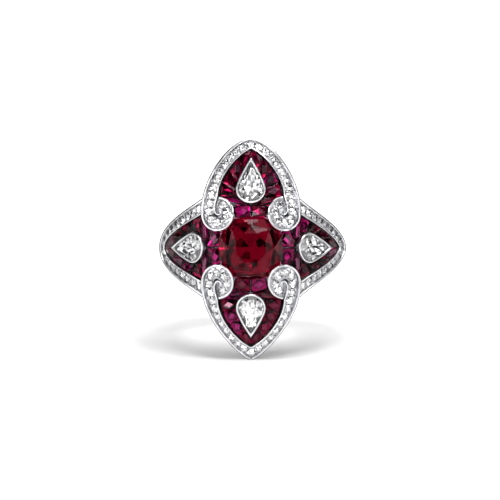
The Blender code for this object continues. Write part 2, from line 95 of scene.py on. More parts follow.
# The centre stone: its outline, heights and facets, and its collet as (share of outline, height)
CUSHION_POWER = 3.2
CUSHION_HALF = (3.67, 3.62)
GIRDLE_LOW, GIRDLE_HIGH = 12.28, 12.38
TABLE_HEIGHT, TABLE_SHARE = 13.4, 0.46
STAR_RISE, STAR_SHARE, STAR_SHAKE = 0.62, 0.72, 0.08
CULET = (-0.12, 9.1, 0.12)
PAVILION_SLOPE, PAVILION_SHAKE = 0.8, 0.2
KEEL_REACH, CORNER_REACH = 2.66, 2.41  # how far out the lower facets break, straight and at corners
COLLET_PROFILE = (
    (0.93, GIRDLE_LOW - 0.26),
    (0.95, GIRDLE_LOW - 0.28),
    (0.95, GIRDLE_LOW - 0.6),
    (0.78, 9.75),
    (0.66, 9.75),
    (0.91, GIRDLE_LOW - 0.36),
)

# The pears: length, width and the v of their middle, then their shape and their bezels'
PEARS = {
    "north": (5.4, 3.4, 7.63),
    "south": (5.2, 3.4, 7.7),
    "east": (5.5, 3.5, 7.5),
    "west": (5.45, 3.5, 7.48),
}
PEAR_SIDE_RADIUS = 14.0
PEAR_TIP_ANGLE = 34
PEAR_RIM_TOP = 0.38
PEAR_BEZEL = (  # inset, height and scale, from the foot up the outside and down the inside
    (0.0, -1.15, 0.74),
    (0.0, -0.25, 1),
    (0.0, PEAR_RIM_TOP - 0.12, 1),
    (0.015, PEAR_RIM_TOP - 0.06, 1),
    (0.05, PEAR_RIM_TOP - 0.015, 1),
    (0.1, PEAR_RIM_TOP, 1),
    (0.19, PEAR_RIM_TOP, 1),
    (0.22, PEAR_RIM_TOP - 0.02, 1),
    (0.3, PEAR_RIM_TOP - 0.2, 1),
    (0.3, -0.05, 1),
    (0.34, -0.2, 0.94),
    (0.34, -1.15, 0.62),
)
PEAR_BEZEL_STEPS = 22
PEAR_SIDES = 32
PEAR_INSET = 0.29
PEAR_MIDDLE = (0, -0.35)
PEAR_GIRDLE_TOP = 0.19
PEAR_TABLE, PEAR_STARS = (0.6, 0.5), (0.8, 0.36)  # share from the middle, height
PEAR_GIRDLE_LOW = (0.05, -0.2)  # these three: share inward from the girdle, height
PEAR_LOWERS, PEAR_UPPERS = (0.3, -0.3), (0.6, -0.32)
PEAR_KEEL = -0.36
PEAR_KEEL_REACH = 0.9  # how far below the tip its facets meet the keel
PEAR_SHAKE = 0.05
PEAR_WELD = 0.004
PEAR_TIP_GROWTH = 2.6  # how much longer the outline gets for each unit of clearance round it

# The calibre rubies: where they meet the border and the pears, and how they are cut
LONG_RIM_ENDS, SIDE_RIM_ENDS = (156, 178), (146, 166)  # rows' and root stones' ends on the scrolls
LONG_PEAR_CLEARANCE, SIDE_PEAR_CLEARANCE = 0.04, 0.16
ROW_SHARES = (0, 0.23, 0.43, 0.59, 0.73, 1)  # along the pear, from its tip
WIRE_CLEARANCE, ROW_CLEARANCE, ROOT_CLEARANCE = 0.02, 0.03, 0.05
ROOT_UNDER = 0.05  # how far the root stones run under the centre stone's edge
CALIBRE_GAP = 0.018
CALIBRE_LIFT = (-0.015, 0.02)
CALIBRE_TABLE, CALIBRE_WAIST, CALIBRE_KEEL = (0.66, 0.1), (1.0, -0.08), (0.82, -0.4)
CALIBRE_TILT = 0.13
TONES = 3
FOIL, FIRST_SHADED_CROWN, PAINTED_FLASH_TABLE = 3, 4, 7  # material slots after the tones of the calibre rubies' tables: the foil, the first crown-facet tone painted darker as shade, and a table painted pale as a highlight
PAINTED_FLASH_RUBIES = {("north", -1, 1), ("north", 1, 3), ("south", 1, 3)}  # stones whose tables are painted pale as a highlight: lobe, side, place from the tip

# The border's round diamonds, their seats and beads, and the millegrain
STONE_PITCH = 1.02
STONE_MOST_RADIUS = 0.5
STONE_HEIGHT = 0.03
STONE_WALL_GAP, STONE_STONE_GAP = 0.005, 0.015
STONE_TILT = 0.05
HEADING_STEP = 0.002
MELEE_LEVELS, MELEE_CULET = ((0.56, 0.3), (1, 0.02), (1, -0.02)), -0.86  # in radii
SEAT_STEPS = 24
SEAT_LEVELS = ((1.02, 0.0), (0.97, -0.04), (0.5, -0.45))  # radii out, height
BEAD_RADIUS, BEAD_HEIGHT, BEAD_PLACES = 0.1, 0.07, (0.12, 0.88)
BAND_STEPS = 44
GRAIN_RADIUS, GRAIN_PITCH = 0.07, 0.17
GRAIN_INSET, GRAIN_DROP = 0.035, 0.075
GRAIN_STEP, GRAIN_STEPS = 4, 21  # degrees along the start of a scroll

# The shank and gallery, as the CAD has them but smooth. Their angles are from the front.
FINGER_RADIUS = 8.5
SHANK_RADIUS, SHOULDER_RADIUS, HEEL_RADIUS = 10.0, 10.2, 11.0
SHANK_WIDTH, SHOULDER_WIDTH = 2.4, 3.0
SHANK_START, HEEL_START, HEEL_RISE, HEEL_END = 49, 68, 3, 105
SHANK_EDGE = ((0.0, 0.8), (0.03, 0.92), (0.12, 1.0))  # height over the bore, share of the width
CROWN_DEPTH, CROWN_POWER, CROWN_STEPS = 0.6, 0.6, 9
RAIL_RADIUS, RAIL_THICK = 8.97, 0.4
RAIL_REACH = (6.75, 3.5)
RAIL_POWER, RAIL_STEPS = 2.6, 120
STRUT_RADIUS, STRUT_STEPS = 0.34, 6
STRUT_FOOT_ANGLE, STRUT_FOOT_GAP, STRUT_HEAD_RADII = 62, 0.25, 1.1
LONG_STRUT, SIDE_STRUT = (2.9, 6.3), (3.0, 6.9)
TRAY_BOTTOM = -1.2
TUBE_SIDES, TUBE_SKEW = 16, Vector((0.3, 0.2, 1))

# The room: how fine its patches are, and how its light runs from in front of the ring (-1) to
# behind it (1), as (from, to, value at from, value at to)
ROOM_PATCH_SCALE, ROOM_PATCH_EDGE = 4.0, (0.47, 0.52)
ROOM_DARK, ROOM_PALE = (0.06, 0.06, 0.07), (1, 1, 1)
ROOM_PALER = (-0.85, -1.0, 0.0, 0.10)
ROOM_FADING = (-1.0, 0.3, 1.35, 0.4)
ROOM_DARK_MIDDLE = (-0.997, -0.990, 0.04, 1.0)

# The studio, in metres and watts, with the lens in millimetres
FLOOR_TILT, FLOOR_HALF, FLOOR_FRONT, FLOOR_GAP = 9, 0.2, -0.0105, 0.00005
AIM = (0, -0.01, 0)
LIGHTS = (  # name, place, size, power
    ("key", (0.04, -0.09, 0.26), (0.17, 0.17), 0.55),
    ("right", (0.24, -0.14, 0.04), (0.13, 0.2), 0.12),
    ("left", (-0.17, -0.26, 0.02), (0.03, 0.08), 0.06),
    ("far_left", (-0.24, -0.12, 0.03), (0.13, 0.2), 0.14),
)
GLINTS = ((-0.035, 0.045), (0.09, 0.1), (-0.1, -0.07), (0.06, -0.11), (-0.12, 0.12))
GLINT_Y, GLINT_SIZE, GLINT_POWER = -0.31, 0.025, 0.03
CAMERA_AIM, CAMERA_DISTANCE = (-0.00007, -0.0137, -0.00023), 0.28
CAMERA_AZIMUTH, CAMERA_ELEVATION = 1.0, 0.5
SENSOR_WIDTH, LENS = 36, 177.6
CLIP = (0.01, 20)

# Metals: darker and paler colour, least and most roughness, strength of the finishing marks and
# how many there are per millimetre
POLISHED = ((0.62, 0.62, 0.63), (0.76, 0.76, 0.77), (0.17, 0.26), 0.15, 9.0)
SATIN = ((0.70, 0.70, 0.71), (0.82, 0.82, 0.83), (0.2, 0.34), 0.3, 5.0)
# The border's seat metal, also used for its beads, is painted dark as shade in the seats round the
# diamonds
SEAT_PAINTED_SHADE = ((0.32, 0.32, 0.34), (0.54, 0.54, 0.56), (0.14, 0.22), 0.3, 9.0)
MIRROR = ((0.93, 0.93, 0.94), (0.97, 0.97, 0.97), (0.01, 0.03), 0.03, 9.0)
RUBY_FOIL = ((0.80, 0.55, 0.62), (0.92, 0.70, 0.78), (0.03, 0.08), 0.05, 9.0)
TONE_SCALE, POLISH_SCALE = 0.9, 3.0
MARK_DETAIL, MARK_STRETCH, MARK_DEPTH = 4.0, (1, 1, 0.3), 0.02

# Stones: face colour, and body as (colour, density per millimetre)
VEIL_SCALE, VEIL_DETAIL, VEIL_SHADE = 1.2, 2.0, 0.93
RUBY_IOR, DIAMOND_IOR = 1.77, 2.417
RED_FACE, RED_BODY, RED_GLOSS = (1.0, 0.80, 0.82), ((0.80, 0.0, 0.57), 1.2), 0.24
CALIBRE_BODIES = (((0.70, 0.0, 0.46), 4.6), ((0.73, 0.0, 0.62), 4.2), ((0.66, 0.0, 0.44), 5.2))
# Each calibre tone has a copy for the crown facets with a darker face and less gloss, painted shade
# beside the tables
TABLE_FACE, TABLE_GLOSS = (1.0, 0.7, 0.85), 0.4
CROWN_PAINTED_SHADE_FACE, CROWN_SHADE_GLOSS = (0.68, 0.34, 0.44), 0.14
# The pale table's face, body and gloss are a painted highlight, standing in for a flash of light
PAINTED_FLASH_FACE, PAINTED_FLASH_BODY, PAINTED_FLASH_GLOSS = (1.0, 0.9, 0.94), ((0.75, 0.3, 0.5), 0.8), 1.0


class Lobe:
    """One lobe of the head, with its outlines in its own plan and the way from there into space."""

    def __init__(self, name, quarter_turns):
        self.name = name
        self.long = quarter_turns % 2 == 0
        self.quarter_turns = quarter_turns
        self.drop = 0 if self.long else SIDE_DROP
        self.outer = OUTER[name]
        self.inner = INNER[name]
        self.pear = PEARS[name]
        self.row_rim_end, self.root_rim_end = LONG_RIM_ENDS if self.long else SIDE_RIM_ENDS
        self.pear_clearance = LONG_PEAR_CLEARANCE if self.long else SIDE_PEAR_CLEARANCE

    def plan(self, u, v):
        """The head's plan coordinates (x, z) of a point in the lobe's own."""
        for _ in range(self.quarter_turns):
            u, v = v, -u
        return u, v

    def point(self, u, v, h):
        return on_head(*self.plan(u, v), h - self.drop)

    def out(self, u, v):
        return head_normal(*self.plan(u, v))

    def offset(self, points, distance):
        """A plan line moved to its left by this distance as measured on the head surface."""
        found = []
        for i, point in enumerate(points):
            before, after = points[max(i - 1, 0)], points[min(i + 1, len(points) - 1)]
            along = Vector(after) - Vector(before)
            side = Vector((-along.y, along.x)).normalized()
            climb = Vector(head_slope(*self.plan(*point))).dot(self.plan(*side))
            step = distance / math.sqrt(1 + climb * climb)
            found.append((point[0] + side.x * step, point[1] + side.y * step))
        return found


LOBES = [Lobe("north", 0), Lobe("east", 1), Lobe("south", 2), Lobe("west", 3)]


def head_height(x, z):
    across = ACROSS_A * x * x / 2 + ACROSS_B * abs(x) ** 3 / 3
    along = ALONG_RADIUS - math.sqrt(ALONG_RADIUS**2 - z * z)
    return HEAD_HEIGHT - across - along


def head_slope(x, z):
    across = math.copysign(ACROSS_A * abs(x) + ACROSS_B * x * x, x)
    return across, z / math.sqrt(ALONG_RADIUS**2 - z * z)


def head_normal(x, z):
    across, along = head_slope(x, z)
    return Vector((across, -1, along)).normalized()


def on_head(x, z, h):
    return Vector((x, -head_height(x, z), z)) + head_normal(x, z) * h


def eased(value, low, high):
    t = min(max((value - low) / (high - low), 0), 1)
    return t * t * (3 - 2 * t)


def bezier(control, steps):
    points = []
    for i in range(steps + 1):
        t = i / steps
        weights = ((1 - t) ** 3, 3 * t * (1 - t) ** 2, 3 * t * t * (1 - t), t**3)
        points.append(tuple(sum(w * c[k] for w, c in zip(weights, control)) for k in (0, 1)))
    return points


def ellipse_point(centre, radii, degrees, grow=0.0):
    a = math.radians(degrees)
    return (
        centre[0] + (radii[0] + grow) * math.cos(a),
        centre[1] + (radii[1] + grow) * math.sin(a),
    )


def smooth_through(points, steps):
    ends = [points[0], *points, points[-1]]
    found = []
    for p0, p1, p2, p3 in zip(ends, ends[1:], ends[2:], ends[3:]):
        for i in range(steps):
            t = i / steps
            found.append(
                tuple(
                    0.5
                    * (
                        2 * p1[k]
                        + (p2[k] - p0[k]) * t
                        + (2 * p0[k] - 5 * p1[k] + 4 * p2[k] - p3[k]) * t * t
                        + (3 * p1[k] - p0[k] - 3 * p2[k] + p3[k]) * t**3
                    )
                    for k in (0, 1)
                )
            )
    return [*found, points[-1]]


def between(a, b, share):
    return tuple(p + (q - p) * share for p, q in zip(a, b))


def resampled(points, fractions):
    lengths = [0.0]
    for a, b in zip(points, points[1:]):
        lengths.append(lengths[-1] + math.dist(a, b))
    found = []
    for fraction in fractions:
        want = fraction * lengths[-1]
        i = next((i for i in range(len(points) - 2) if lengths[i + 1] > want), len(points) - 2)
        share = (want - lengths[i]) / (lengths[i + 1] - lengths[i])
        found.append(tuple(a + (b - a) * share for a, b in zip(points[i], points[i + 1])))
    return found


def mirrored(points):
    return [(-u, v) for u, v in reversed(points[1:])] + points


def even(count):
    return [i / count for i in range(count + 1)]


def on_centreline(points):
    return [(0, points[0][1]), *points[1:]]


# ---------------------------------------------------------------- materials


def new_material(name):
    made = bpy.data.materials.new(name)
    made.use_nodes = True
    return made, made.node_tree, made.node_tree.nodes["Principled BSDF"]


def object_noise(tree, scale, detail=3.0, stretch=(1, 1, 1)):
    """A noise whose scale is in features per millimetre."""
    place = tree.nodes.new("ShaderNodeTexCoord")
    mapping = tree.nodes.new("ShaderNodeMapping")
    mapping.inputs["Scale"].default_value = [s / MM for s in stretch]
    noise = tree.nodes.new("ShaderNodeTexNoise")
    noise.inputs["Scale"].default_value = scale
    noise.inputs["Detail"].default_value = detail
    tree.links.new(place.outputs["Object"], mapping.inputs["Vector"])
    tree.links.new(mapping.outputs["Vector"], noise.inputs["Vector"])
    return noise


def ramp(tree, source, low, high, start=0.35, end=0.65):
    made = tree.nodes.new("ShaderNodeValToRGB")
    made.color_ramp.elements[0].position = start
    made.color_ramp.elements[1].position = end
    made.color_ramp.elements[0].color = (*low, 1)
    made.color_ramp.elements[1].color = (*high, 1)
    tree.links.new(source, made.inputs["Fac"])
    return made.outputs["Color"]


def platinum(name, low, high, rough, bump, grain):
    """Platinum with slight tone and gloss variation, and hand-finishing marks as bump."""
    made, tree, shader = new_material(name)
    shader.inputs["Metallic"].default_value = 1.0
    tone = object_noise(tree, TONE_SCALE)
    tree.links.new(ramp(tree, tone.outputs["Fac"], low, high), shader.inputs["Base Color"])
    polish = object_noise(tree, POLISH_SCALE)
    spread = tree.nodes.new("ShaderNodeMapRange")
    spread.inputs["To Min"].default_value = rough[0]
    spread.inputs["To Max"].default_value = rough[1]
    tree.links.new(polish.outputs["Fac"], spread.inputs["Value"])
    tree.links.new(spread.outputs["Result"], shader.inputs["Roughness"])
    marks = object_noise(tree, grain, MARK_DETAIL, MARK_STRETCH)
    lift = tree.nodes.new("ShaderNodeBump")
    lift.inputs["Strength"].default_value = bump
    lift.inputs["Distance"].default_value = MARK_DEPTH * MM
    tree.links.new(marks.outputs["Fac"], lift.inputs["Height"])
    tree.links.new(lift.outputs["Normal"], shader.inputs["Normal"])
    return made


def gem(name, colour, ior, body=None, gloss=1.0):
    """A clear stone.

    body is (colour, density per millimetre) of what it lets through, and gloss is how much of the
    room its facets reflect.
    """
    made, tree, shader = new_material(name)
    shader.inputs["Transmission Weight"].default_value = 1.0
    shader.inputs["Roughness"].default_value = 0.0
    shader.inputs["IOR"].default_value = ior
    shader.inputs["Specular Tint"].default_value = (gloss, gloss, gloss, 1)
    veil = object_noise(tree, VEIL_SCALE, VEIL_DETAIL)
    deeper = tuple(c * VEIL_SHADE for c in colour)
    tree.links.new(ramp(tree, veil.outputs["Fac"], deeper, colour), shader.inputs["Base Color"])
    if body:
        inside = tree.nodes.new("ShaderNodeVolumeAbsorption")
        inside.inputs["Color"].default_value = (*body[0], 1)
        inside.inputs["Density"].default_value = body[1] / MM
        tree.links.new(inside.outputs["Volume"], tree.nodes["Material Output"].inputs["Volume"])
    return made


# ---------------------------------------------------------------- meshes


def finished(name, bm, material, replaces=(), smooth_below=None):
    """The bmesh, drawn in millimetres, as a piece of the ring in metres."""
    bmesh.ops.recalc_face_normals(bm, faces=bm.faces)
    bmesh.ops.scale(bm, vec=(MM, MM, MM), verts=bm.verts)
    mesh = bpy.data.meshes.new(name)
    bm.to_mesh(mesh)
    bm.free()
    for one in material if isinstance(material, list) else [material]:
        mesh.materials.append(one)
    if smooth_below is not None:
        mesh.shade_smooth()
        mesh.set_sharp_from_angle(angle=math.radians(smooth_below))
    made = bpy.data.objects.new(name, mesh)
    bpy.context.scene.collection.objects.link(made)
    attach(made, "root")
    if replaces:
        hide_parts(*replaces)


def bridge(bm, first, second):
    """A strip of four-sided faces between two loops."""
    count = len(first)
    for i in range(count):
        j = (i + 1) % count
        bm.faces.new((first[i], first[j], second[j], second[i]))


def loft(name, rings, metal, replaces, closed=False, smooth_below=38):
    """A platinum piece through these rings of places, capped at its ends unless it's closed."""
    bm = bmesh.new()
    loops = [[bm.verts.new(p) for p in ring] for ring in rings]
    for first, second in zip(loops, loops[1:]):
        bridge(bm, first, second)
    if closed:
        bridge(bm, loops[-1], loops[0])
    else:
        bm.faces.new(loops[0])
        bm.faces.new(loops[-1])
    finished(name, bm, metal, replaces, smooth_below)


# A polished bar's section: (share of its width, height below its top), from left to right
HALF_TOP = ((0, 0.13), (0.03, 0.07), (0.12, 0.02), (0.28, 0))
ROUND_TOP = (*HALF_TOP, (0.72, 0), (0.88, 0.02), (0.97, 0.07), (1, 0.13))


def bar_ring(lobe, left, right, bottom, top):
    ring = [lobe.point(*left, bottom)]
    for share, below in ROUND_TOP:
        ring.append(lobe.point(*between(left, right, share), top - below))
    ring.append(lobe.point(*right, bottom))
    return ring


# ---------------------------------------------------------------- walls, wires and millegrain


def outer_line(lobe):
    line = bezier(lobe.outer, OUTER_STEPS)
    if lobe.long:
        line += [
            ellipse_point(SCROLL_CENTRE, SCROLL_RADII, SCROLL_END * i / SCROLL_STEPS)
            for i in range(SCROLL_STEPS + 1)
        ]
    return line


def inner_line(lobe):
    line = bezier(lobe.inner, INNER_STEPS)
    if lobe.long:
        line[-1:] = smooth_through([line[-1], *HOOK], HOOK_STEPS)
    return line


def claw_share(lobe, plan):
    """How much of the claw's lift, 0 to 1, the scroll has at this plan point."""
    if not lobe.long:
        return 0.0
    claw = ellipse_point(SCROLL_CENTRE, SCROLL_RADII, CLAW_ANGLE)
    return 1 - eased(math.dist((abs(plan[0]), plan[1]), claw), *CLAW_SPAN)


def wall_bottom(lobe, plan):
    if not lobe.long:
        return WALL_BOTTOM
    outside = abs(plan[0]) > SCROLL_CENTRE[0] or plan[1] > SCROLL_TOP
    flank = eased(plan[1], *FLANK_SPAN) if outside else 0.0
    low = STONE_FLOOR + (WALL_BOTTOM - STONE_FLOOR) * flank
    return low + (CLAW_BOTTOM - low) * claw_share(lobe, plan)


def wall_top(lobe, plan):
    return WALL_TOP + (CLAW_TOP - WALL_TOP) * claw_share(lobe, plan)


def outer_wall(lobe, metal):
    outside = mirrored(outer_line(lobe))
    inside = lobe.offset(outside, -WALL_THICK)
    rings = [
        bar_ring(lobe, out, within, wall_bottom(lobe, out), wall_top(lobe, out))
        for out, within in zip(outside, inside)
    ]
    loft(f"{lobe.name}_border_wall", rings, metal, [f"{lobe.name}_outer_wall"])


def inner_wire(lobe, metal):
    field_side = mirrored(inner_line(lobe))
    band_side = lobe.offset(field_side, WIRE_THICK)
    rings = [
        bar_ring(lobe, band, field, STONE_FLOOR, WIRE_TOP)
        for band, field in zip(band_side, field_side)
    ]
    loft(f"{lobe.name}_border_wire", rings, metal, [f"{lobe.name}_inner_wire"])


def add_ball(bm, centre, radius, detail):
    made = bmesh.ops.create_icosphere(bm, subdivisions=detail, radius=radius)
    bmesh.ops.translate(bm, vec=centre, verts=made["verts"])


def spaced(lobe, line, pitch, height):
    """Places this far apart in space along a plan line."""
    places = [lobe.point(*p, height) for p in line]
    lengths = [0.0]
    for a, b in zip(places, places[1:]):
        lengths.append(lengths[-1] + (b - a).length)
    count = round(lengths[-1] / pitch)
    found = []
    j = 0
    for i in range(count + 1):
        want = lengths[-1] * i / count
        while j < len(line) - 2 and lengths[j + 1] < want:
            j += 1
        share = (want - lengths[j]) / (lengths[j + 1] - lengths[j])
        found.append(places[j].lerp(places[j + 1], share))
    return found


def millegrain(lobe, metal):
    """Fine beads along the outer edge of the border wall."""
    bm = bmesh.new()
    line = bezier(lobe.outer, OUTER_STEPS)
    if lobe.long:
        for i in range(1, GRAIN_STEPS + 1):
            line.append(ellipse_point(SCROLL_CENTRE, SCROLL_RADII, -GRAIN_STEP * i))
    inset = on_centreline(lobe.offset(line, -GRAIN_INSET))
    for place in spaced(lobe, mirrored(inset), GRAIN_PITCH, WALL_TOP - GRAIN_DROP):
        add_ball(bm, place, GRAIN_RADIUS, 1)
    finished(f"{lobe.name}_millegrain", bm, metal, smooth_below=180)


# ---------------------------------------------------------------- faceted stones


def add_single_cut(bm, radius, turn, place):
    """A small round diamond with eight facets above and eight below, as old melee is cut."""
    rings = []
    for share, height in MELEE_LEVELS:
        points = circle(radius * share, 8, turn)
        rings.append([bm.verts.new(place(x, y, height * radius)) for x, y in points])
    culet = bm.verts.new(place(0, 0, MELEE_CULET * radius))
    bm.faces.new(rings[0])
    for i in range(8):
        j = (i + 1) % 8
        for upper, lower in zip(rings, rings[1:]):
            bm.faces.new((upper[i], upper[j], lower[j], lower[i]))
        bm.faces.new((rings[-1][i], rings[-1][j], culet))


def circle(radius, count, turn=0.0):
    angles = [turn + 2 * math.pi * i / count for i in range(count)]
    return [(radius * math.cos(a), radius * math.sin(a)) for a in angles]


def frame_at(lobe, plan, h, heading):
    """A function from local (x, y, height) into space, at a plan point, with y along heading."""
    origin = lobe.point(*plan, h)
    out = lobe.out(*plan)
    nearby = (plan[0] + heading[0] * SMALL_STEP, plan[1] + heading[1] * SMALL_STEP)
    ahead = lobe.point(*nearby, h) - origin
    along = (ahead - out * ahead.dot(out)).normalized()
    across = along.cross(out)
    return lambda x, y, height: origin + across * x + along * y + out * height


# ---------------------------------------------------------------- pave borders


def superellipse_norm(x, y, power):
    return (abs(x) ** power + abs(y) ** power) ** (1 / power)


def cushion_norm(x, z):
    """Where (x, z) lies in the centre stone's outline: 0 in the middle, 1 on the edge."""
    half_x, half_z = CUSHION_HALF
    return superellipse_norm(x / half_x, z / half_z, CUSHION_POWER)


def cushion_edge(lobe, u):
    """How far up a lobe's v axis the centre stone reaches at this u."""
    half_u, half_v = CUSHION_HALF if lobe.long else CUSHION_HALF[::-1]
    return half_v * (1 - (u / half_u) ** CUSHION_POWER) ** (1 / CUSHION_POWER)


class Band:
    """The strip between a lobe's wall and its wire.

    at(s, w) is the plan point s along it and w across it, both from 0 to 1.
    """

    def __init__(self, lobe):
        wall = on_centreline(lobe.offset(bezier(lobe.outer, OUTER_STEPS), -WALL_THICK))
        wire = on_centreline(lobe.offset(bezier(lobe.inner, INNER_STEPS), WIRE_THICK))
        if lobe.long:
            wire += lobe.offset(inner_line(lobe), WIRE_THICK)[len(wire) : -FREE_HOOK]
        wall_side, wire_side = (resampled(line, even(BAND_STEPS)) for line in (wall, wire))
        if lobe.long:
            for i in range(1, FAN_STEPS + 1):
                angle = FAN_END * i / FAN_STEPS
                wall_side.append(ellipse_point(SCROLL_CENTRE, SCROLL_RADII, angle, -WALL_THICK))
                wire_side.append(ellipse_point(FAN_CENTRE, FAN_RADII, angle, -FAN_INSET))
        self.wall, self.wire = mirrored(wall_side), mirrored(wire_side)
        middle = [lobe.point(*between(a, b, 0.5), 0) for a, b in zip(self.wall, self.wire)]
        self.lengths = [0.0]
        for a, b in zip(middle, middle[1:]):
            self.lengths.append(self.lengths[-1] + (b - a).length)

    def at(self, s, w):
        want = min(max(s, 0), 1) * self.lengths[-1]
        last = len(self.lengths) - 2
        i = next((i for i in range(last) if self.lengths[i + 1] > want), last)
        share = (want - self.lengths[i]) / (self.lengths[i + 1] - self.lengths[i])
        wall = between(self.wall[i], self.wall[i + 1], share)
        return between(wall, between(self.wire[i], self.wire[i + 1], share), w)


def pave_border(lobe, metal, stone):
    """Round diamonds in cut seats along the border, with beads between each two of them."""
    band = Band(lobe)
    count = round(band.lengths[-1] / STONE_PITCH)
    if lobe.long != (count % 2 == 1):  # a long lobe has a stone at its tip, a side lobe a joint
        count += 1
    pitch = band.lengths[-1] / count
    seats, stones, beads = bmesh.new(), bmesh.new(), bmesh.new()
    shaker = random.Random(lobe.name)
    for n in range(count):
        s0, s1, s = n / count, (n + 1) / count, (n + 0.5) / count
        centre = band.at(s, 0.5)
        ahead = Vector(band.at(s + HEADING_STEP, 0.5)) - Vector(band.at(s - HEADING_STEP, 0.5))
        width = (lobe.point(*band.at(s, 0), 0) - lobe.point(*band.at(s, 1), 0)).length
        radius = min(STONE_MOST_RADIUS, width / 2 - STONE_WALL_GAP, pitch / 2 - STONE_STONE_GAP)
        lift = claw_share(lobe, centre) * CLAW_STONE_LIFT
        place = frame_at(lobe, centre, STONE_HEIGHT + lift, ahead.normalized())
        tilt = [shaker.uniform(-STONE_TILT, STONE_TILT) for _ in range(2)]
        spin = shaker.uniform(0, math.pi / 4)

        def tilted(x, y, height):
            return place(x, y, height + x * tilt[0] + y * tilt[1])

        add_single_cut(stones, radius, spin, tilted)
        add_seat(seats, lobe, band, place, (s0, s1), radius, lift)
        if n:
            for w in BEAD_PLACES:
                spot = band.at(s0, w)
                height = BEAD_HEIGHT + claw_share(lobe, spot) * CLAW_STONE_LIFT
                add_ball(beads, lobe.point(*spot, height), BEAD_RADIUS, 2)
    # metal is the seat metal, painted dark as shade in the seats; the beads take it too
    finished(f"{lobe.name}_pave_seats", seats, metal, [f"{lobe.name}_pave_band"], 30)
    finished(f"{lobe.name}_pave_diamonds", stones, stone)
    finished(f"{lobe.name}_pave_beads", beads, metal, smooth_below=180)


def add_seat(bm, lobe, band, place, span, radius, lift):
    """One cell of the border's metal bed, with a round tapered seat cut in it."""
    s0, s1 = span
    edge = []
    for i in range(SEAT_STEPS):
        side, t = divmod(i * 4 / SEAT_STEPS, 1)
        sides = ((s0 + (s1 - s0) * t, 0), (s1, t), (s1 + (s0 - s1) * t, 1), (s0, 1 - t))
        edge.append(lobe.point(*band.at(*sides[int(side)]), lift))
    middle = sum(edge, Vector()) / SEAT_STEPS
    origin = place(0, 0, 0)
    across, along = place(1, 0, 0) - origin, place(0, 1, 0) - origin
    rims = []
    for share, height in SEAT_LEVELS:
        rim = []
        for corner in edge:
            spoke = corner - middle
            a = math.atan2(spoke.dot(along), spoke.dot(across))
            rim.append(place(radius * share * math.cos(a), radius * share * math.sin(a), height))
        rims.append(rim)
    loops = [[bm.verts.new(p) for p in loop] for loop in (edge, *rims)]
    for outer, inner in zip(loops, loops[1:]):
        bridge(bm, outer, inner)
    bm.faces.new(loops[-1])


# ---------------------------------------------------------------- pears


def pear_outline(length, width, inset, steps):
    """A round end and two flatter sides that meet in a point, all moved in by inset."""
    r = width / 2 - inset
    big = PEAR_SIDE_RADIUS - inset
    bottom = -length / 2 + inset
    centre = bottom + r
    reach = length / 2 - centre - inset / math.sin(math.radians(PEAR_TIP_ANGLE))
    sine = (2 * big * r - r * r - reach * reach) / (2 * reach * (big - r))
    turn = math.asin(sine)
    side_centre = (-(big - r) * math.cos(turn), centre - (big - r) * math.sin(turn))
    tip = (0.0, centre + reach)
    tip_angle = math.atan2(tip[1] - side_centre[1], tip[0] - side_centre[0])
    right = []
    for i in range(1, steps + 1):
        a = tip_angle + (turn - tip_angle) * i / steps
        right.append((side_centre[0] + big * math.cos(a), side_centre[1] + big * math.sin(a)))
    for i in range(1, steps + 1):
        a = turn + (-math.pi / 2 - turn) * i / steps
        right.append((r * math.cos(a), centre + r * math.sin(a)))
    return [tip, *right, *[(-u, v) for u, v in reversed(right[:-1])]]


def pear_place(lobe):
    return frame_at(lobe, (0, lobe.pear[2]), 0, (0, 1))


def pear_foreshortening(lobe):
    place = pear_place(lobe)
    return math.sqrt(1 - (place(0, 1, 0) - place(0, 0, 0)).y ** 2)


def pear_collet(lobe, metal):
    """The bezel: a tapered band whose rim is rounded outside and bevelled down to the stone."""
    length, width, _ = lobe.pear
    place = pear_place(lobe)
    rows = []
    for inset, height, scale in PEAR_BEZEL:
        outline = pear_outline(length, width, inset, PEAR_BEZEL_STEPS)
        rows.append([place(x * scale, y * scale, height) for x, y in outline])
    node = f"{lobe.name}_pear_collet"
    loft(f"{lobe.name}_pear_bezel", list(zip(*rows)), metal, [node], closed=True)


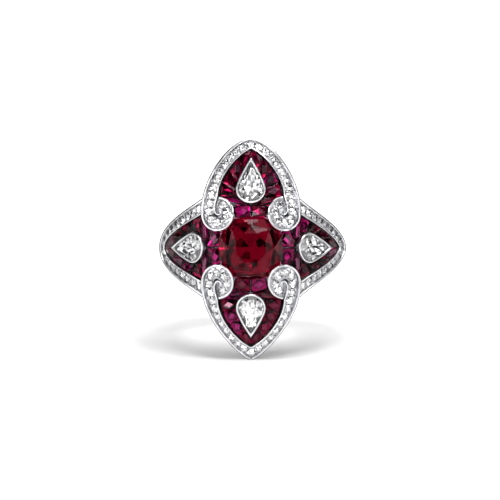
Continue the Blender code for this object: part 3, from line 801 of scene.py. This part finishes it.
def pear_stone(lobe, stone, mirror):
    """A pear brilliant whose low, silvered pavilion has many small uneven facets."""
    length, width, _ = lobe.pear
    place = pear_place(lobe)
    count = PEAR_SIDES
    fine = pear_outline(length, width, PEAR_INSET, 40)
    girdle = resampled([*fine, fine[0]], even(count))[:count]
    centre = -length / 2 + width / 2
    bm = bmesh.new()

    def vert(point, height):
        return bm.verts.new(place(*point, height))

    def inward(i):
        """The point of the stone's long axis that lies inward of this girdle point."""
        before, after = girdle[i - 1], girdle[(i + 1) % count]
        normal = Vector((after[1] - before[1], before[0] - after[0]))
        x, y = girdle[i]
        if abs(x) < SMALL_STEP:
            return (0, centre) if y < centre else (0, y - PEAR_KEEL_REACH)
        return (0, max(centre, y - x * normal.y / normal.x))

    def above(points, level):
        share, height = level
        return [vert(between(PEAR_MIDDLE, p, share), height) for p in points]

    rim_top = [vert(p, PEAR_GIRDLE_TOP) for p in girdle]
    share, height = PEAR_GIRDLE_LOW
    rim_low = [vert(between(p, (0, centre), share), height) for p in girdle]
    table = above(girdle[::2], PEAR_TABLE)
    stars = above(girdle[1::2], PEAR_STARS)
    shaker = random.Random(lobe.name + "pear")
    keels, lowers, uppers = [], [], []
    for i in range(count):
        meets = inward(i)
        wobble = shaker.uniform(-PEAR_SHAKE, PEAR_SHAKE)
        if i % 2:
            share, height = PEAR_LOWERS
            lowers.append(vert(between(girdle[i], meets, share), height + wobble))
        else:
            share, height = PEAR_UPPERS
            keels.append(vert(meets, PEAR_KEEL + wobble))
            uppers.append(vert(between(girdle[i], meets, share), height - wobble))
    bm.faces.new(table)
    half = count // 2
    for k in range(half):
        n = (k + 1) % half
        a, b, c = 2 * k, 2 * k + 1, (2 * k + 2) % count
        bm.faces.new((table[k], table[n], stars[k]))
        bm.faces.new((table[k], stars[k - 1], rim_top[a], stars[k]))
        bm.faces.new((stars[k], rim_top[a], rim_top[b]))
        bm.faces.new((stars[k], rim_top[b], rim_top[c]))
        for corners in (
            (uppers[k], lowers[k - 1], rim_low[a]),
            (uppers[k], rim_low[a], lowers[k]),
            (lowers[k], rim_low[a], rim_low[b]),
            (lowers[k], rim_low[b], rim_low[c]),
            (uppers[k], lowers[k], uppers[n]),
            (keels[k], uppers[k], keels[n]),
            (keels[n], uppers[k], uppers[n]),
        ):
            bm.faces.new(corners).material_index = 1
        for i, j in ((a, b), (b, c)):
            bm.faces.new((rim_top[i], rim_top[j], rim_low[j], rim_low[i]))
    bmesh.ops.remove_doubles(bm, verts=bm.verts, dist=PEAR_WELD)
    node = f"{lobe.name}_pear_diamond"
    finished(f"{lobe.name}_pear_stone", bm, [stone, mirror], [node])


def pear_footprint(lobe, clearance):
    """The right-hand half of the bezel's outline in the lobe's plan, grown by clearance."""
    length, width, middle = lobe.pear
    grown = pear_outline(length + PEAR_TIP_GROWTH * clearance, width + 2 * clearance, 0, 8)
    half = grown[: len(grown) // 2 + 1]
    foreshortened = pear_foreshortening(lobe)
    return [(u, middle + v * foreshortened) for u, v in half]


# ---------------------------------------------------------------- calibre rubies


def by_scroll(lobe, degrees, clearance):
    """A plan point beside the scroll that borders the lobe's right-hand half."""
    if lobe.long:
        return ellipse_point(SCROLL_CENTRE, SCROLL_RADII, degrees, clearance)
    return ellipse_point(SCROLL_CENTRE, SCROLL_RADII, 90 - degrees, clearance)[::-1]


def add_calibre(bm, lobe, corners, tone, pale, shaker):
    """A French-cut stone on four plan corners, with a turned table and a foiled, tapered back."""
    middle = (sum(c[0] for c in corners) / 4, sum(c[1] for c in corners) / 4)
    corners = [between(c, middle, CALIBRE_GAP) for c in corners]
    halves = [between(a, b, 0.5) for a, b in zip(corners, corners[1:] + corners[:1])]
    lift = shaker.uniform(*CALIBRE_LIFT)

    def ring(points, level, lift):
        share, height = level
        places = [lobe.point(*between(middle, p, share), height + lift) for p in points]
        return [bm.verts.new(place) for place in places]

    girdle = ring(corners, (1.0, 0.0), lift)
    table = ring(halves, CALIBRE_TABLE, lift)
    tilt_x, tilt_z = [shaker.uniform(-CALIBRE_TILT, CALIBRE_TILT) for _ in range(2)]
    out = lobe.out(*middle)
    for vert in table:
        flat = vert.co - lobe.point(*middle, 0)
        vert.co += out * (flat.x * tilt_x + flat.z * tilt_z)
    waist = ring(corners, CALIBRE_WAIST, lift)
    keel = ring(corners, CALIBRE_KEEL, 0)
    crown, backing = [bm.faces.new(table)], [bm.faces.new(keel)]
    for i in range(4):
        j = (i + 1) % 4
        crown.append(bm.faces.new((girdle[i], girdle[j], table[i])))
        crown.append(bm.faces.new((girdle[j], table[j], table[i])))
        for upper, lower in ((girdle, waist), (waist, keel)):
            backing.append(bm.faces.new((upper[i], upper[j], lower[j], lower[i])))
    # The crown facets take the tone's copy painted darker as shade
    for face in crown:
        face.material_index = tone + FIRST_SHADED_CROWN
    # A pale table is a painted highlight; the others take their plain tone
    crown[0].material_index = PAINTED_FLASH_TABLE if pale else tone
    for face in backing:
        face.material_index = FOIL


def calibre_rubies(lobe, tones):
    """The rubies that fill the lobe: a row down each side of the pear, and one each at the root."""
    wire = on_centreline(lobe.offset(bezier(lobe.inner, INNER_STEPS), WIRE_CLEARANCE))
    rim_end = by_scroll(lobe, lobe.row_rim_end, ROW_CLEARANCE)
    edge = [*resampled(wire, even(len(ROW_SHARES) - 2)), rim_end]
    around = pear_footprint(lobe, lobe.pear_clearance)
    pear = resampled(around, ROW_SHARES)
    foot = by_scroll(lobe, lobe.root_rim_end, ROOT_CLEARANCE)
    root_top = [around[-1], rim_end]
    root_low = [(u, cushion_edge(lobe, u) - ROOT_UNDER) for u in (0, foot[0])]
    bm = bmesh.new()
    shaker = random.Random(lobe.name + "rubies")
    for sign in (1, -1):
        for near, far in ((edge, pear), (root_top, root_low)):
            for i in range(len(near) - 1):
                quad = [near[i], near[i + 1], far[i + 1], far[i]]
                quad = [(max(u, 0.0) * sign, v) for u, v in quad]
                # a few tables are painted pale as highlights
                pale = near is edge and (lobe.name, sign, i) in PAINTED_FLASH_RUBIES
                add_calibre(bm, lobe, quad, shaker.randrange(TONES), pale, shaker)
    nodes = []
    for kind in ("ruby_row", "root_rubies"):
        nodes += [f"{lobe.name}_{kind}_{side}" for side in ("right", "left")]
    finished(f"{lobe.name}_calibre_rubies", bm, tones, nodes)


# ---------------------------------------------------------------- centre stone


def cushion_ring(scale, height, count, shift=0):
    """Places round the centre stone's outline, scaled, turned by shift of their own steps."""
    points = []
    for i in range(count):
        a = 2 * math.pi * (i + shift) / count
        x, z = math.cos(a), math.sin(a)
        norm = cushion_norm(x, z)
        points.append((x / norm * scale, -height, z / norm * scale))
    return points


def centre_ruby(stone):
    """A cushion cut: an eight-sided table, star, kite and girdle facets, and eight to the culet."""
    bm = bmesh.new()

    def ring(scale, height, shift=0, step=1):
        return [bm.verts.new(p) for p in cushion_ring(scale, height, 16, shift)[::step]]

    upper, under = ring(1, GIRDLE_HIGH), ring(1, GIRDLE_LOW)
    table = ring(TABLE_SHARE, TABLE_HEIGHT, 1, 2)
    stars = ring(STAR_SHARE, GIRDLE_HIGH + STAR_RISE, 0, 2)
    shaker = random.Random(5)
    for vertex in stars:
        vertex.co.y += shaker.uniform(-STAR_SHAKE, STAR_SHAKE)
    lower = []
    for k in range(8):
        a = math.pi * k / 4
        reach = CORNER_REACH if k % 2 else KEEL_REACH
        rise = PAVILION_SLOPE * reach + shaker.uniform(-PAVILION_SHAKE, PAVILION_SHAKE)
        out = reach * math.sqrt(2) if k % 2 else reach
        place = (out * math.cos(a), -CULET[1] - rise, out * math.sin(a))
        lower.append(bm.verts.new(place))
    culet = bm.verts.new((CULET[0], -CULET[1], CULET[2]))
    bm.faces.new(table)
    count, half = 16, 8
    for k in range(half):
        n = (k + 1) % half
        a, b, c = 2 * k, 2 * k + 1, (2 * k + 2) % count
        bm.faces.new((stars[k], stars[n], table[k]))
        bm.faces.new((table[k - 1], stars[k], table[k]))
        bm.faces.new((stars[k], upper[a], upper[b]))
        bm.faces.new((stars[k], upper[b], stars[n]))
        bm.faces.new((stars[n], upper[b], upper[c]))
        bm.faces.new((lower[k], under[a], under[b]))
        bm.faces.new((lower[k], under[b], lower[n]))
        bm.faces.new((lower[n], under[b], under[c]))
        for i, j in ((a, b), (b, c)):
            bm.faces.new((upper[i], upper[j], under[j], under[i]))
    for q in range(4):
        bm.faces.new((lower[2 * q], lower[2 * q + 1], culet))
        bm.faces.new((lower[2 * q - 1], lower[2 * q], culet))
    finished("centre_cushion_ruby", bm, stone, ["centre_ruby"])


def centre_setting(metal):
    """The collet under the centre stone's girdle, hidden from the front by the stones."""
    levels = [cushion_ring(scale, height, 64) for scale, height in COLLET_PROFILE]
    loft("centre_setting", list(zip(*levels)), metal, ["centre_collet"], closed=True)


# ---------------------------------------------------------------- shank and gallery


def on_finger(degrees, radius, z):
    a = math.radians(degrees)
    return Vector((radius * math.sin(a), -radius * math.cos(a), z))


def shank_section(degrees):
    """The band's section at this angle from the front: a crowned outside and softened edges."""
    around = min(degrees, 360 - degrees)
    peak = HEEL_START + HEEL_RISE
    swell = eased(around, HEEL_START, peak) * (1 - eased(around, peak, HEEL_END))
    radius = SHOULDER_RADIUS + (SHANK_RADIUS - SHOULDER_RADIUS) * eased(around, 90, 180)
    radius += (HEEL_RADIUS - SHOULDER_RADIUS) * swell
    narrowing = (SHANK_WIDTH - SHOULDER_WIDTH) * eased(around, HEEL_START, HEEL_END)
    half = (SHOULDER_WIDTH + narrowing) / 2
    crown = [(FINGER_RADIUS + rise, half * share) for rise, share in SHANK_EDGE]
    for i in range(CROWN_STEPS):
        a = math.pi / 2 * i / CROWN_STEPS
        out = radius - CROWN_DEPTH + CROWN_DEPTH * math.sin(a)
        crown.append((out, half * math.cos(a) ** CROWN_POWER))
    section = [*crown, (radius, 0), *[(r, -z) for r, z in reversed(crown)]]
    return [on_finger(degrees, r, z) for r, z in section]


def shank(metal):
    peak = HEEL_START + HEEL_RISE
    half = [SHANK_START]
    for end, steps in ((HEEL_START, 10), (peak, 6), (180, 54)):
        start = half[-1]
        half += [start + (end - start) * i / steps for i in range(1, steps + 1)]
    angles = half + [360 - a for a in reversed(half[:-1])]
    loft("band", [shank_section(a) for a in angles], metal, ["shank"])


def tube(name, points, radius, metal, replaces, closed=False):
    """A round wire through these places."""
    rings = []
    last = len(points) - 1
    for i, point in enumerate(points):
        before = points[i - 1] if closed else points[max(i - 1, 0)]
        along = (points[(i + 1) % (last + 1)] if closed or i < last else point) - before
        side = along.cross(TUBE_SKEW).normalized()
        other = along.cross(side).normalized()
        section = circle(1, TUBE_SIDES)
        rings.append([point + side * (radius * x) + other * (radius * y) for x, y in section])
    loft(name, rings, metal, replaces, closed=closed, smooth_below=60)


def rail_point(turn, radius):
    """A place on the rail's loop, laid on a cylinder of this radius. turn is in radians."""
    c, s = math.cos(turn), math.sin(turn)
    norm = superellipse_norm(c, s, RAIL_POWER)
    across, along = RAIL_REACH
    return on_finger(math.degrees(across * c / norm / RAIL_RADIUS), radius, along * s / norm)


def gallery(metal):
    """The rail laid round the finger, and the struts from it up to each lobe's tray."""
    turns = [2 * math.pi * (i + 0.5) / RAIL_STEPS for i in range(RAIL_STEPS)]
    loop = [rail_point(turn, RAIL_RADIUS) for turn in turns]
    tube("under_rail", loop, RAIL_THICK, metal, ["gallery_rail"], closed=True)
    turn = math.radians(STRUT_FOOT_ANGLE)
    for lobe in LOBES:
        for side, sign in (("a", 1), ("b", -1)):
            u, v = LONG_STRUT if lobe.long else SIDE_STRUT
            head = lobe.point(u * sign, v, TRAY_BOTTOM - STRUT_RADIUS * STRUT_HEAD_RADII)
            x, z = lobe.plan(sign * math.cos(turn), math.sin(turn))
            foot = rail_point(math.atan2(z, x), RAIL_RADIUS + RAIL_THICK + STRUT_FOOT_GAP)
            points = [foot.lerp(head, share) for share in even(STRUT_STEPS)]
            name = f"{lobe.name}_under_strut_{side}"
            tube(name, points, STRUT_RADIUS, metal, [f"gallery_strut_{lobe.name}_{side}"])


# ---------------------------------------------------------------- studio


def area_light(name, place, size, power):
    data = bpy.data.lights.new(name, "AREA")
    data.shape = "RECTANGLE"
    data.size, data.size_y = size
    data.energy = power
    made = bpy.data.objects.new(name, data)
    made.location = place
    made.rotation_euler = (Vector(AIM) - Vector(place)).to_track_quat("-Z", "Y").to_euler()
    bpy.context.scene.collection.objects.link(made)


def map_range(tree, source, low, high, at_low, at_high):
    """A value that runs from at_low to at_high while the source runs from low to high."""
    made = tree.nodes.new("ShaderNodeMapRange")
    made.inputs["From Min"].default_value = low
    made.inputs["From Max"].default_value = high
    made.inputs["To Min"].default_value = at_low
    made.inputs["To Max"].default_value = at_high
    tree.links.new(source, made.inputs["Value"])
    return made.outputs["Result"]


def combined(tree, operation, first, second):
    made = tree.nodes.new("ShaderNodeMath")
    made.operation = operation
    tree.links.new(first, made.inputs[0])
    tree.links.new(second, made.inputs[1])
    return made.outputs["Value"]


def room():
    """A room that is white to the camera, with pale and dark patches for the ring to reflect."""
    world = bpy.data.worlds.new("studio")
    bpy.context.scene.world = world
    world.use_nodes = True
    tree = world.node_tree
    place = tree.nodes.new("ShaderNodeTexCoord")
    split = tree.nodes.new("ShaderNodeSeparateXYZ")
    tree.links.new(place.outputs["Generated"], split.inputs[0])
    noise = tree.nodes.new("ShaderNodeTexNoise")
    noise.inputs["Scale"].default_value = ROOM_PATCH_SCALE
    noise.inputs["Detail"].default_value = 0.0
    tree.links.new(place.outputs["Generated"], noise.inputs["Vector"])
    ahead = split.outputs["Y"]
    paler = map_range(tree, ahead, *ROOM_PALER)
    patches = combined(tree, "ADD", noise.outputs["Fac"], paler)
    fading = map_range(tree, ahead, *ROOM_FADING)
    dark_middle = map_range(tree, ahead, *ROOM_DARK_MIDDLE)
    lit = tree.nodes["Background"]
    colours = ramp(tree, patches, ROOM_DARK, ROOM_PALE, *ROOM_PATCH_EDGE)
    tree.links.new(colours, lit.inputs["Color"])
    tree.links.new(combined(tree, "MULTIPLY", fading, dark_middle), lit.inputs["Strength"])
    white = tree.nodes.new("ShaderNodeBackground")
    white.inputs["Color"].default_value = (1, 1, 1, 1)
    seen = tree.nodes.new("ShaderNodeLightPath")
    mix = tree.nodes.new("ShaderNodeMixShader")
    tree.links.new(seen.outputs["Is Camera Ray"], mix.inputs["Fac"])
    tree.links.new(lit.outputs["Background"], mix.inputs[1])
    tree.links.new(white.outputs["Background"], mix.inputs[2])
    tree.links.new(mix.outputs["Shader"], tree.nodes["World Output"].inputs["Surface"])


def pale_floor(low):
    """A floor that only catches the shadow, just under the ring's lowest point."""
    bm = bmesh.new()
    bmesh.ops.create_grid(bm, x_segments=24, y_segments=24, size=FLOOR_HALF)
    mesh = bpy.data.meshes.new("floor")
    bm.to_mesh(mesh)
    bm.free()
    floor = bpy.data.objects.new("floor", mesh)
    floor.location = (0, FLOOR_FRONT, low - FLOOR_GAP)
    floor.rotation_euler = (math.radians(FLOOR_TILT), 0, 0)
    floor.is_shadow_catcher = True
    made, tree, shader = new_material("pale_floor")
    grain = object_noise(tree, 0.02, 2.0)
    colours = ramp(tree, grain.outputs["Fac"], (0.95, 0.95, 0.95), (0.97, 0.97, 0.97))
    tree.links.new(colours, shader.inputs["Base Color"])
    shader.inputs["Roughness"].default_value = 0.7
    shader.inputs["Specular IOR Level"].default_value = 0.2
    mesh.materials.append(made)
    bpy.context.scene.collection.objects.link(floor)


def camera():
    azimuth, elevation = math.radians(CAMERA_AZIMUTH), math.radians(CAMERA_ELEVATION)
    level = math.cos(elevation)
    back = Vector((math.sin(azimuth) * level, -math.cos(azimuth) * level, math.sin(elevation)))
    data = bpy.data.cameras.new("camera")
    made = bpy.data.objects.new("camera", data)
    made.location = Vector(CAMERA_AIM) + back * CAMERA_DISTANCE
    made.rotation_euler = (-back).to_track_quat("-Z", "Y").to_euler()
    data.sensor_width = SENSOR_WIDTH
    data.lens = LENS
    data.clip_start, data.clip_end = CLIP
    bpy.context.scene.collection.objects.link(made)
    bpy.context.scene.camera = made


def build(nodes, lowest):
    """The ring round the CAD part's nodes, in its room on a floor at the part's lowest point."""
    bpy.context.scene.view_settings.view_transform = "Standard"
    bpy.context.scene.view_settings.look = "Medium High Contrast"

    polished = platinum("polished_platinum", *POLISHED)
    satin = platinum("satin_platinum", *SATIN)
    # Seat and bead metal for the border, painted dark as shade in the seats
    seat = platinum("bright_cut_platinum", *SEAT_PAINTED_SHADE)
    mirror = platinum("pavilion_mirror", *MIRROR)
    foil = platinum("ruby_foil", *RUBY_FOIL)
    clear = gem("diamond", (1.0, 1.0, 1.0), DIAMOND_IOR)
    red = gem("centre_ruby_red", RED_FACE, RUBY_IOR, RED_BODY, RED_GLOSS)
    tables, shaded_crowns = [], []
    for i, body in enumerate(CALIBRE_BODIES):
        tables.append(gem(f"calibre_table_{i}", TABLE_FACE, RUBY_IOR, body, TABLE_GLOSS))
        # crown-facet copies of each tone, painted darker as shade
        shaded_crowns.append(gem(f"calibre_crown_{i}", CROWN_PAINTED_SHADE_FACE, RUBY_IOR, body, CROWN_SHADE_GLOSS))
    # table material painted pale as a highlight
    pale = gem("calibre_table_pale", PAINTED_FLASH_FACE, RUBY_IOR, PAINTED_FLASH_BODY, PAINTED_FLASH_GLOSS)
    tones = [*tables, foil, *shaded_crowns, pale]

    for name, node in nodes.items():
        inside = name.endswith("_tray") or name.startswith("gallery_")
        node.data.materials.clear()
        node.data.materials.append(satin if inside else polished)

    for lobe in LOBES:
        outer_wall(lobe, polished)
        inner_wire(lobe, polished)
        millegrain(lobe, polished)
        pave_border(lobe, seat, clear)
        pear_collet(lobe, polished)
        pear_stone(lobe, clear, mirror)
        calibre_rubies(lobe, tones)
    centre_ruby(red)
    centre_setting(polished)
    shank(polished)
    gallery(polished)

    room()
    for light in LIGHTS:
        area_light(*light)
    for x, z in GLINTS:
        area_light("glint", (x, GLINT_Y, z), (GLINT_SIZE, GLINT_SIZE), GLINT_POWER)
    pale_floor(lowest)
    camera()


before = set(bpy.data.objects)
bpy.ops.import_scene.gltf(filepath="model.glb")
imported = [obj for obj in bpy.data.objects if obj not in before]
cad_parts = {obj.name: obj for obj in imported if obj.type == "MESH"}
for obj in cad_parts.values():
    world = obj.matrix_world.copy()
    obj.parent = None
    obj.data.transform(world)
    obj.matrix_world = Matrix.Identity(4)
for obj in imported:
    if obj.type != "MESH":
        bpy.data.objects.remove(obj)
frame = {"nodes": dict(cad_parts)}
cad_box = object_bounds()
build(frame["nodes"], cad_box[0][2])
